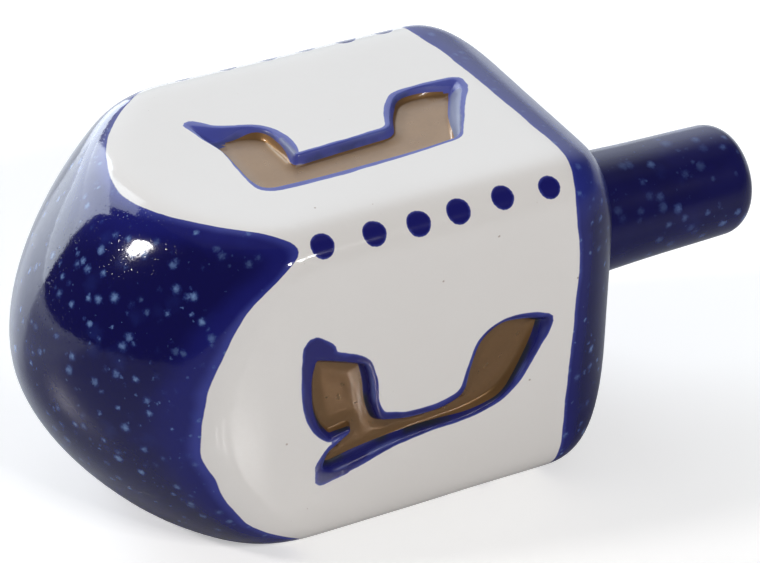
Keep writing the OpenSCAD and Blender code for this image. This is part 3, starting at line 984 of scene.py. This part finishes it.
def body_glaze():
    """White glaze with painted cobalt at both ends, brush lines round the letters and dots on the edges."""
    recipe = Recipe(bpy.data.materials.new("white_and_cobalt_glaze"))
    wobble = recipe.noise(4.5, 1) - 0.5
    fine = recipe.noise(1.1, 1) - 0.5

    cloud = recipe.noise(18, 3)
    white = cloud.blend((0.822, 0.795, 0.768), (0.852, 0.83, 0.808))
    iron = recipe.specks(recipe.shaken(0.4, 0.25), 4.6, 0.27, 0.5)
    faint = recipe.specks(recipe.place, 2.4, 0.15, 0.35)
    white = (iron.rise(0.1, 0.5) * 0.6).blend(white, (0.3, 0.2, 0.15))
    white = (faint.rise(0.1, 0.5) * 0.35).blend(white, (0.45, 0.38, 0.34))

    # The brush line round each letter: deep where the brush was full, and pale along its outer border
    brush = recipe.field("brush") + wobble * 0.45 + fine * 0.1
    line_mask = brush.rise(0, 0.16)
    pale = recipe.field("thin_paint")
    light = pale.blend((0.034, 0.045, 0.27), (0.12, 0.15, 0.5))
    full = pale.blend((0.011, 0.012, 0.145), (0.085, 0.103, 0.43))
    load = (brush + recipe.noise(5, 2) * 1.6 - 0.8).rise(0, 0.8)
    stroke = load.blend(light, full)
    fringe = 1 - brush.rise(0.05, 0.3)
    stroke = (fringe * 0.35).blend(stroke, (0.13, 0.17, 0.5))
    wall = recipe.field("wall")
    gold = recipe.field("gold")
    crest = wall.rise(-0.45, 0) * (1 - wall.rise(0.05, 0.4))
    worn = recipe.noise(7, 1).rise(0.46, 0.62)
    heavy = brush.rise(1.1, 1.9)
    stroke = (crest * worn * (1 - heavy) * 0.5).blend(stroke, (0.13, 0.17, 0.47))
    # Nearly black at the foot of the walls beside the gold: partly the gold wash run over the blue, partly
    # painted shade in the sunk letters
    foot = (gold + fine * 0.3).rise(-0.75, -0.12) * wall.rise(-0.1, 0.25)
    smoke_and_shade = recipe.noise(6, 2).rise(0.4, 0.56) * (1 - pale * 0.6)
    stroke = (foot * smoke_and_shade * 0.9).blend(stroke, (0.016, 0.02, 0.022))
    bare = (recipe.field("bare") + wobble * 0.5 + fine * 0.3).rise(0, 0.25)
    stroke = (bare * 0.85).blend(stroke, (0.6, 0.5, 0.38))
    # Pale grey on some walls: partly thin blue, partly a painted reflection
    wash_and_reflection = (recipe.field("wash_and_reflection") + wobble * 0.6 + fine * 0.3).rise(-0.1, 0.5)
    stroke = (wash_and_reflection * 0.8).blend(stroke, (0.21, 0.235, 0.33))
    colour = line_mask.blend(white, stroke)

    dot = recipe.field("dot") + wobble * 0.4 + fine * 0.12
    dot_mask = dot.rise(0, 0.14)
    dot_load = (dot + fine * 0.4).rise(0.02, 0.5)
    dot_blue = dot_load.blend((0.04, 0.05, 0.29), (0.0075, 0.0075, 0.135))
    colour = dot_mask.blend(colour, dot_blue)

    # The blue lies smooth over the nose. Over the shoulder it lies thicker, and it fired less shiny there.
    # So did the brush lines
    shoulder = recipe.axis("X").rise(0.006, 0.016)
    edge = recipe.field("blue_line") + wobble * 0.5 + fine * 0.08
    zone = edge.rise(0, 0.2)
    thickness = edge * (shoulder * 1.3 + 1)
    blue = cobalt(recipe, thickness, (0.0024, 0.0018, 0.068), (0.0075, 0.0085, 0.138))
    # Painted light: the side of the shoulder that faces up is made a lighter blue
    lit_upper_side = shoulder * recipe.axis("Z").rise(0.044, 0.054)
    blue = (lit_upper_side * 0.5).blend(blue, (0.026, 0.04, 0.3))
    colour = zone.blend(colour, blue)

    roughness = 0.075 + recipe.noise(5, 3) * 0.04 - zone * 0.015 + shoulder * zone * 0.15
    on_wall = wall.rise(-0.3, 0.1)
    roughness = roughness + line_mask * (1 - zone) * (on_wall * 0.13 + foot * 0.3 + wash_and_reflection * 0.18 + 0.03)
    pits = recipe.specks(recipe.place, 0.44, 0.18, 0.45) * zone
    peel = recipe.orange_peel() - pits * 0.9
    return recipe.finish(colour, roughness, {"IOR": 1.52}, peel, 0.3)


def stem_glaze():
    """Cobalt glaze that ran more on the stem, so that its specks are blurred."""
    recipe = Recipe(bpy.data.materials.new("cobalt_glaze_on_stem"))
    thickness = recipe.noise(9) * 4 + 4
    blue = cobalt(recipe, thickness, (0.0024, 0.0018, 0.054), (0.0065, 0.0065, 0.105), 0.6)
    roughness = 0.15 + recipe.noise(5, 3) * 0.1
    return recipe.finish(blue, roughness, {"IOR": 1.52}, recipe.orange_peel(), 0.3)


def slip_glaze():
    """Thin glaze over the joining slip, where the blue runs off the clay and lets it show pale."""
    recipe = Recipe(bpy.data.materials.new("thin_glaze_on_slip"))
    patch = recipe.noise(3.5, 3).rise(0.35, 0.65)
    colour = patch.blend((0.06, 0.07, 0.26), (0.33, 0.36, 0.52))
    roughness = 0.1 + recipe.noise(2, 2) * 0.08
    return recipe.finish(colour, roughness, {"IOR": 1.5}, recipe.noise(0.9, 2), 0.4)


def gold_glaze():
    """Brown-gold wash under a thin clear coat, more orange near the walls and where it is thin."""
    recipe = Recipe(bpy.data.materials.new("gold_wash_in_letters"))
    inside = recipe.field("gold")
    cloud = recipe.noise(4.5, 3)
    gold = cloud.blend((0.222, 0.115, 0.039), (0.284, 0.152, 0.054))
    near_wall = 1 - (inside + (cloud - 0.5) * 0.9).rise(0.1, 0.85)
    gold = (near_wall * 0.35).blend(gold, (0.33, 0.17, 0.055))
    bare = (recipe.field("bare") + (cloud - 0.5) * 0.8).rise(-0.4, 0.3)
    gold = (bare * 0.5).blend(gold, (0.5, 0.27, 0.095))
    clay = (recipe.field("bare") + (cloud - 0.5) * 0.5).rise(0, 0.35)
    gold = (clay * 0.75).blend(gold, (0.66, 0.54, 0.4))
    grain = recipe.noise(0.5, 3)
    gold = (grain * 0.22).blend(gold, (0.12, 0.07, 0.034))
    roughness = 0.24 + recipe.noise(2, 3) * 0.1 + near_wall * 0.25
    sheen = {"Metallic": 0.65, "IOR": 1.5, "Coat Weight": 0.8, "Coat Roughness": 0.13}
    return recipe.finish(gold, roughness, sheen, recipe.noise(1.6, 2) + grain * 0.15, 0.25)


def lay_floor():
    """White table top. It shows white to the camera and in the glaze, and keeps the top's shadow."""
    mesh = bpy.data.meshes.new("floor")
    half = 4
    steps = 8
    drop = 0.02 * MM
    marks = [half * (2 * i / steps - 1) for i in range(steps + 1)]
    corners = [i * (steps + 1) + j for i in range(steps) for j in range(steps)]
    faces = [(a, a + steps + 1, a + steps + 2, a + 1) for a in corners]
    mesh.from_pydata([(x, y, -drop) for x in marks for y in marks], [], faces)
    put("floor", mesh)
    recipe = Recipe(bpy.data.materials.new("white_table_top"))
    cloud = recipe.noise(60, 2)
    paper = cloud.blend((0.8, 0.8, 0.8), (0.83, 0.83, 0.83))
    matt = recipe.add("ShaderNodeBsdfDiffuse", {}, {"Color": paper})
    path = recipe.add("ShaderNodeLightPath", out="Is Camera Ray")
    in_glaze = path.beside("Is Glossy Ray")
    glow = recipe.add("ShaderNodeEmission", {}, {"Color": (1, 1, 1, 1), "Strength": path * 0.44})
    both = recipe.add("ShaderNodeAddShader", {}, {0: matt, 1: glow})
    # In the glaze the table top shows as it is from close by: greyer, shiny in front of the top, duller
    # beside its nose, and with a painted glow for the windows' light on it, brighter towards the windows
    back = recipe.axis("Y")
    dull = (1 - recipe.axis("X").rise(-0.06, -0.035)) * 0.25 + 0.05
    # Painted glow of the windows' light on the table, rising towards the back
    daylight = back.rise(0, 0.06) * 0.42 + back.rise(0.1, 0.4) * 0.42
    sockets = {
        "Base Color": (0.46, 0.47, 0.49, 1),
        "Roughness": dull,
        "IOR": 1.8,
        "Emission Color": daylight.blend((0, 0, 0), (0.86, 0.93, 1)),
        "Emission Strength": 1,
    }
    sheen = recipe.add("ShaderNodeBsdfPrincipled", {}, sockets)
    shown = recipe.add("ShaderNodeMixShader", {}, {0: in_glaze, 1: both, 2: sheen})
    mesh.materials.append(recipe.show(shown))


def from_above(azimuth, elevation):
    """Unit direction from the top to a place at that azimuth from +X towards +Y, and that height."""
    a = math.radians(azimuth)
    e = math.radians(elevation)
    return Vector((math.cos(e) * math.cos(a), math.cos(e) * math.sin(a), math.sin(e)))


def softbox(name, azimuth, elevation, distance, width, height, radiance, colour, shape="RECTANGLE"):
    """A lamp that faces the top. Its radiance is how bright it looks, with 1 for white."""
    centre = Vector((0, 0, AXIS_HEIGHT * MM))
    light = bpy.data.lights.new(name, "AREA")
    light.shape = shape
    light.size = width
    light.size_y = height
    light.color = colour
    area = width * height * (math.pi / 4 if shape == "DISK" else 1)
    light.energy = radiance * math.pi * area
    lamp = put(name, light)
    back = from_above(azimuth, elevation)
    lamp.location = centre + back * distance
    lamp.rotation_euler = (-back).to_track_quat("-Z", "Y").to_euler()
    lamp.visible_camera = False
    return lamp


def light_studio():
    """A window behind the top, a soft ceiling, a lamp on the left and a long one in front."""
    daylight = (0.84, 0.92, 1)
    window_away = 1.9
    softbox("window_middle", 110, 23, window_away, 1.235, 0.75, 5, daylight)
    softbox("window_top", 110, 41, window_away, 0.74, 0.475, 3, daylight)
    # The low part of the window shows in the glaze alone. Its matt light would burn out the back
    sill = softbox("window_sill", 103.5, -1, window_away, 1.81, 0.89, 4.4, daylight)
    sill.visible_diffuse = False
    softbox("ceiling", 60, 72, 1.7, 2.2, 2.2, 0.08, (1, 1, 1))
    lamp_away = 1.6
    softbox("lamp_left", 163.5, 34.2, lamp_away, 0.22, 0.22, 72, (1, 0.97, 0.95), "DISK")
    # The front lamp gives matt light alone, and in the glaze only its three small bulbs show
    lamplight = (1, 0.98, 0.965)
    front = softbox("lamp_front", -76, 35, lamp_away, 0.5, 0.11, 40.5, lamplight)
    front.visible_glossy = False
    for bulb, azimuth in (("right", -67.5), ("middle", -75.5), ("left", -84)):
        softbox("bulb_front_" + bulb, azimuth, 35, lamp_away, 0.055, 0.085, 105, lamplight)
    # The room: dim, with the soft light of a curtained window behind the top
    recipe = Recipe(bpy.data.worlds.new("studio_room"), "ShaderNodeOutputWorld")
    sockets = {0: recipe.place.beside("Generated"), 1: from_above(66, 27)}
    facing = recipe.add("ShaderNodeVectorMath", {"operation": "DOT_PRODUCT"}, sockets, out="Value")
    near_curtain = ((facing - 0.68) / 0.32).larger(0)
    colour = (near_curtain * near_curtain).blend((0.066, 0.066, 0.066), (0.86, 0.93, 1))
    room = recipe.add("ShaderNodeBackground", {}, {"Color": colour, "Strength": 1.5})
    bpy.context.scene.world = recipe.show(room)


def place_camera():
    """The photo's view: the place that it looks at, its direction, its slight roll and its lens."""
    aim = Vector((-3.4, -2.1, 27.3)) * MM
    distance = 504 * MM
    back = from_above(-118.5, 33.3)
    level = Vector((0, 0, 1)).cross(back).normalized()
    upright = back.cross(level)
    roll = math.radians(1.32)
    right = level * math.cos(roll) + upright * math.sin(roll)
    up = back.cross(right)
    camera = bpy.data.cameras.new("photo_camera")
    camera.sensor_fit = "HORIZONTAL"
    camera.sensor_width = 36
    camera.lens = 153.24
    camera.clip_start = 0.01
    camera.clip_end = 50
    holder = put("photo_camera", camera)
    turned = Matrix((right, up, back)).transposed().to_4x4()
    turned.translation = aim + back * distance
    holder.matrix_world = turned
    bpy.context.scene.camera = holder
    bpy.context.scene.view_settings.view_transform = "Standard"


place_camera()
light_studio()
lay_floor()

body, letter_floors = cast_body()
body.data.materials.append(body_glaze())
gold = gold_glaze()
for letter_floor in letter_floors:
    film = gold_film(*letter_floor)
    film.data.materials.append(gold)
stem = make_stem()
stem.data.materials.append(stem_glaze())
slip = make_slip_ring()
slip.data.materials.append(slip_glaze())
